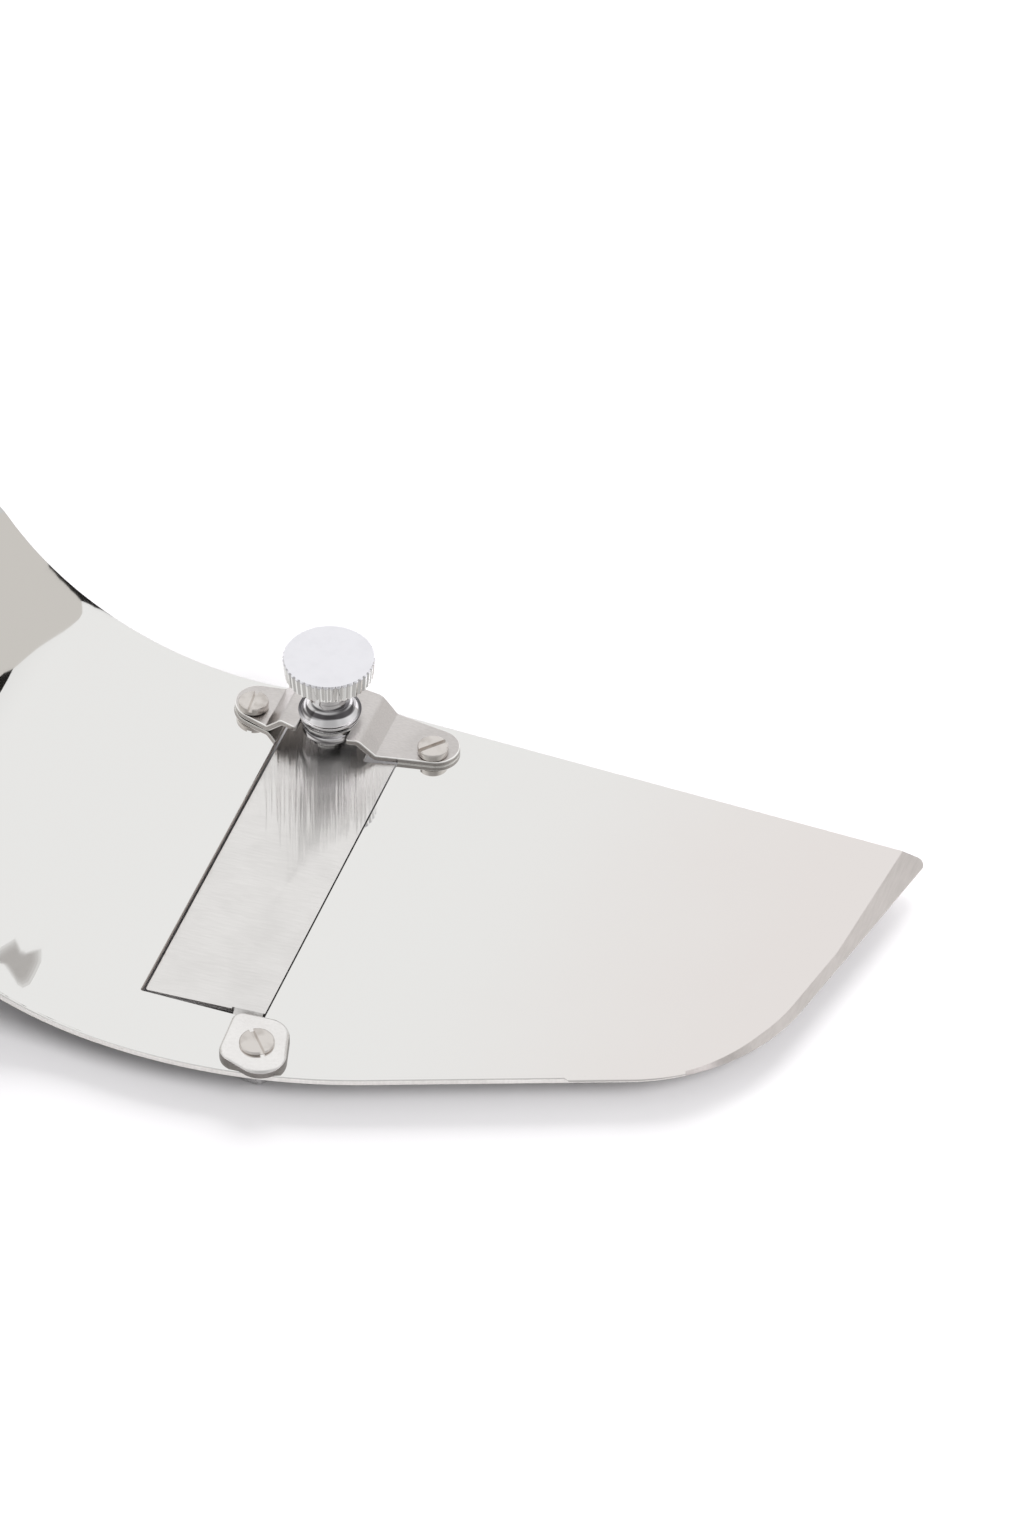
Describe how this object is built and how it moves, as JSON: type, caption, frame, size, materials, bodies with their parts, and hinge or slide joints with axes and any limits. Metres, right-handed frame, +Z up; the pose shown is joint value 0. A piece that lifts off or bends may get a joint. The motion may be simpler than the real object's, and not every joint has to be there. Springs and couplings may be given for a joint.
{
  "type": "truffle slicer",
  "caption": "Hand slicer of bent polished sheet steel: a tilted blade in a window, clamped at the front, is raised at the back by a fluted knob under a bridge bracket.",
  "frame": {"origin": "where the knob's axis meets the level of the three screw ends under the deck", "axes": "+X along the deck to the nose, +Y to the straight back edge, +Z up out of the deck along the knob's axis"},
  "size_m": [0.2285, 0.0924, 0.0469],
  "materials": {
    "mirror_steel": "mirror polished stainless sheet",
    "brushed_blade": "fine brushing across the blade",
    "satin_steel": "satin",
    "screw_steel": "turned, slightly dull",
    "turned_steel": "turned",
    "knob_chrome": "bright plated"
  },
  "bodies": {
    "frame": {"body_plate": "mirror_steel", "bridge_bracket": "satin_steel", "bracket_screws": "screw_steel", "bracket_lock_washers": "turned_steel", "bracket_nuts": "turned_steel", "thrust_washer": "turned_steel", "clamp_cap": "satin_steel", "clamp_screw": "screw_steel", "clamp_spacer": "turned_steel", "clamp_washer": "turned_steel", "clamp_nut": "turned_steel"},
    "knob": {"knob_head": "knob_chrome", "knob_spindle": "knob_chrome"},
    "blade": {"blade": "brushed_blade", "blade_bush": "turned_steel"}
  },
  "joints": [
    {"name": "knob_turn", "type": "hinge", "parent": "frame", "child": "knob", "pos_m": [0, 0, 0], "axis": [0, 0, 1], "range_deg": [-720, 360]},
    {"name": "blade_tilt", "type": "hinge", "parent": "frame", "child": "blade", "pos_m": [0.0153, -0.0765, 0.0038], "axis": [1, 0, 0], "range_deg": [-0.55, 1.1]}
  ],
  "couplings": [
    {"joint": "blade_tilt", "follows": "knob_turn", "ratio": -0.0014563}
  ]
}
